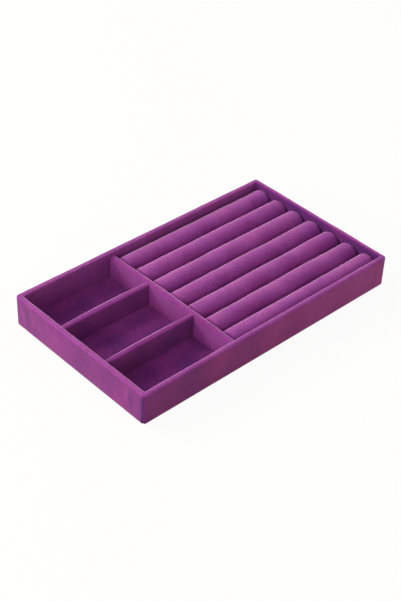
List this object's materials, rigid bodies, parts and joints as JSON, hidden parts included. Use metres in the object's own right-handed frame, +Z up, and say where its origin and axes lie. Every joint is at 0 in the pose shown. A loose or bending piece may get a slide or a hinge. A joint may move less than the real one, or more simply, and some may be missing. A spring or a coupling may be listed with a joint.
{
  "type": "jewelry tray",
  "caption": "Shallow velvet-covered tray with open compartments on the left and padded ring rolls on the right.",
  "frame": {"origin": "middle of the tray's footprint, on the surface that it stands on", "axes": "+X along the ring rolls, from the compartments to the ring bay; +Y to the back; +Z up"},
  "size_m": [0.22, 0.128, 0.024],
  "materials": {
    "velvet": "matte",
    "greyboard": "matte",
    "foam": "matte",
    "cover": "matte"
  },
  "bodies": {
    "root": {"wall_velvet": "velvet", "long_divider_velvet": "velvet", "back_divider_velvet": "velvet", "front_divider_velvet": "velvet", "back_pad_velvet": "velvet", "middle_pad_velvet": "velvet", "front_pad_velvet": "velvet", "ring_velvet_1": "velvet", "ring_velvet_2": "velvet", "ring_velvet_3": "velvet", "ring_velvet_4": "velvet", "ring_velvet_5": "velvet", "ring_velvet_6": "velvet", "ring_velvet_7": "velvet", "base_board": "greyboard", "front_wall_board": "greyboard", "back_wall_board": "greyboard", "left_wall_board": "greyboard", "right_wall_board": "greyboard", "long_divider_board": "greyboard", "back_divider_board": "greyboard", "front_divider_board": "greyboard", "back_pad_card": "greyboard", "middle_pad_card": "greyboard", "front_pad_card": "greyboard", "ring_card": "greyboard", "ring_foam_1": "foam", "ring_foam_2": "foam", "ring_foam_3": "foam", "ring_foam_4": "foam", "ring_foam_5": "foam", "ring_foam_6": "foam", "ring_foam_7": "foam", "bottom_cover": "cover"}
  },
  "joints": []
}
